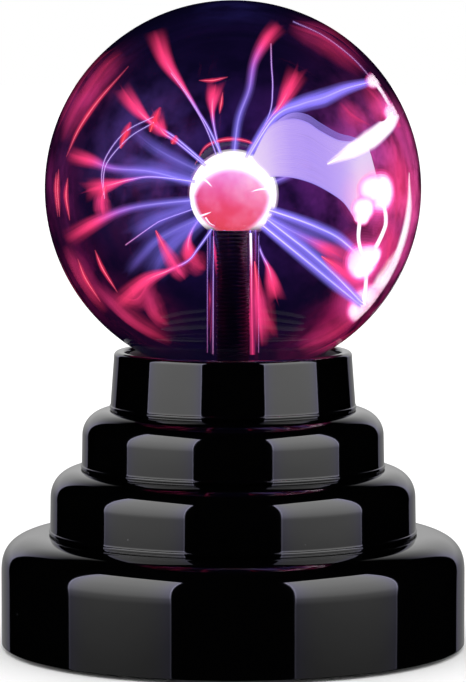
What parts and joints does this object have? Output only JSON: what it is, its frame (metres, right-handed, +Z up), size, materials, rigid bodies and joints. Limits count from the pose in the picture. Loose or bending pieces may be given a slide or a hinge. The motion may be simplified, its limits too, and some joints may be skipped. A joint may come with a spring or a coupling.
{
  "type": "plasma ball",
  "caption": "Small desk plasma ball: sealed glass globe with a central glass-covered electrode on a black base of round steps",
  "frame": {"origin": "centre of the plane that the four rubber feet stand on, under the globe's axis", "axes": "+Z up along the globe's axis, -Y towards the front, +Y towards the switch and the power inlet"},
  "size_m": [0.0944, 0.0944, 0.1314],
  "materials": {
    "gloss_black_shell": "high gloss moulded ABS",
    "cell_wrap": "printed metal jacket, unmarked",
    "satin_black_cover": "fine spark texture",
    "black_wire": "insulated",
    "red_wire": "insulated",
    "zinc_steel": "zinc plated",
    "nickel_plate": "nickel plated",
    "black_epoxy": "moulded epoxy",
    "plasma_glow": "glowing gas discharge, emits light",
    "coil_wire": "dark drawn wire",
    "stem_glass": "clear glass",
    "film_capacitor_dip": "dipped epoxy",
    "capacitor_sleeve": "shrink sleeve",
    "globe_glass": "clear polished soda glass",
    "seal_rubber": "matte",
    "sink_aluminium": "mill finish",
    "white_wire": "silicone insulated, high voltage",
    "board_laminate": "paper laminate with solder mask",
    "inlet_plastic": "satin",
    "white_adhesive": "cured silicone",
    "resistor_lacquer": "lacquered",
    "foot_rubber": "matte",
    "switch_steel": "tinned",
    "knob_plastic": "satin",
    "bobbin_plastic": "moulded",
    "ferrite": "sintered, dull",
    "winding_tape": "polyester tape over enamelled wire"
  },
  "bodies": {
    "base": {"base_shell": "gloss_black_shell", "battery_cell_1": "cell_wrap", "battery_cell_2": "cell_wrap", "battery_cell_3": "cell_wrap", "battery_cell_4": "cell_wrap", "battery_lead_negative": "black_wire", "battery_lead_positive": "red_wire", "board_screws": "zinc_steel", "bottom_cover": "satin_black_cover", "case_screws": "zinc_steel", "contact_plate_1": "nickel_plate", "contact_plate_2": "nickel_plate", "contact_plate_3": "nickel_plate", "contact_plate_4": "nickel_plate", "contact_plate_5": "nickel_plate", "contact_spring_1": "nickel_plate", "contact_spring_2": "nickel_plate", "contact_spring_3": "nickel_plate", "contact_spring_4": "nickel_plate", "drive_transistor": "black_epoxy", "electrode_coating": "plasma_glow", "electrode_coil": "coil_wire", "electrode_glass": "stem_glass", "film_capacitor": "film_capacitor_dip", "filter_capacitor": "capacitor_sleeve", "glass_globe": "globe_glass", "globe_seal": "seal_rubber", "heat_sink": "sink_aluminium", "high_voltage_lead": "white_wire", "inlet_board": "board_laminate", "inlet_body": "inlet_plastic", "inlet_lead_negative": "black_wire", "inlet_lead_positive": "red_wire", "inlet_pin": "nickel_plate", "main_board": "board_laminate", "neck_adhesive": "white_adhesive", "resistors": "resistor_lacquer", "rubber_foot_1": "foot_rubber", "rubber_foot_2": "foot_rubber", "rubber_foot_3": "foot_rubber", "rubber_foot_4": "foot_rubber", "stem_plug": "seal_rubber", "switch_body": "switch_steel", "transformer_bobbin": "bobbin_plastic", "transformer_core": "ferrite", "transformer_windings": "winding_tape", "transistor_screw": "zinc_steel"},
    "door": {"battery_door": "satin_black_cover"},
    "switch": {"switch_knob": "knob_plastic"}
  },
  "joints": [
    {"name": "battery_door_hinge", "type": "hinge", "parent": "base", "child": "door", "pos_m": [-0.0242, 0, 0.00255], "axis": [0, 1, 0], "range_deg": [0, 100]},
    {"name": "power_switch_slide", "type": "slide", "parent": "base", "child": "switch", "axis": [1, 0, 0], "range_m": [0, 0.0025]}
  ]
}
